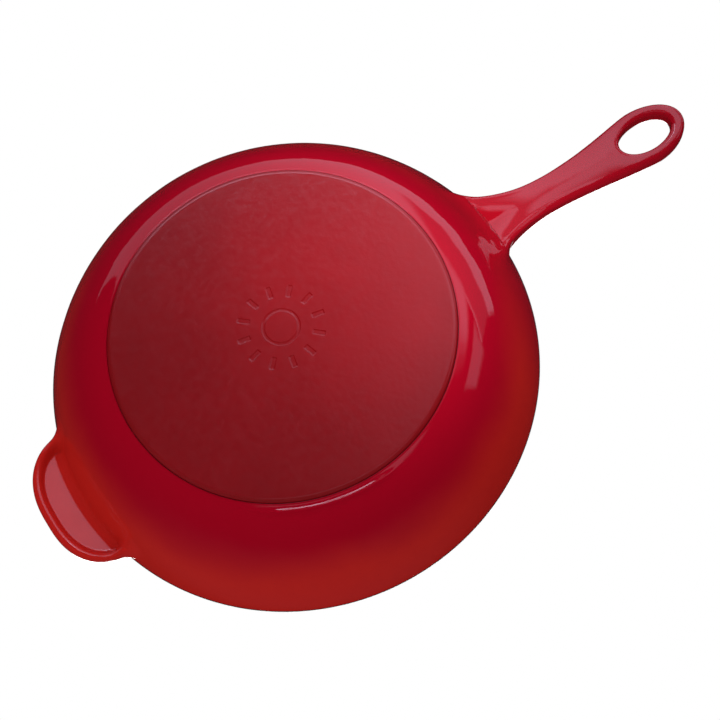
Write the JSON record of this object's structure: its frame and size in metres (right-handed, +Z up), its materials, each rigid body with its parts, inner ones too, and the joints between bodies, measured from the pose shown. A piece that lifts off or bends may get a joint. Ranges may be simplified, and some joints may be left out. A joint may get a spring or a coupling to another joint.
{
  "type": "skillet",
  "caption": "Round cast iron skillet with sloping walls, a long looped handle and a short helper handle, enamelled red outside and black inside.",
  "frame": {"origin": "centre of the flat underside of the base, where the pan stands", "axes": "+Z up out of the bowl; +X along the long handle; the helper handle points along -X"},
  "size_m": [0.4288, 0.268, 0.0769],
  "materials": {
    "cast_iron": "bare sand-cast grey iron, wholly covered by the enamel",
    "red_gloss_enamel": "glossy cherry red vitreous enamel, slightly wavy",
    "red_satin_enamel": "satin red vitreous enamel with a fine orange-peel surface",
    "black_matt_enamel": "matt black vitreous enamel, slightly rough",
    "black_rim_enamel": "satin black vitreous enamel"
  },
  "bodies": {
    "root": {"iron_casting": "cast_iron", "exterior_enamel": "red_gloss_enamel", "base_enamel": "red_satin_enamel", "interior_enamel": "black_matt_enamel", "rim_enamel": "black_rim_enamel"}
  },
  "joints": []
}
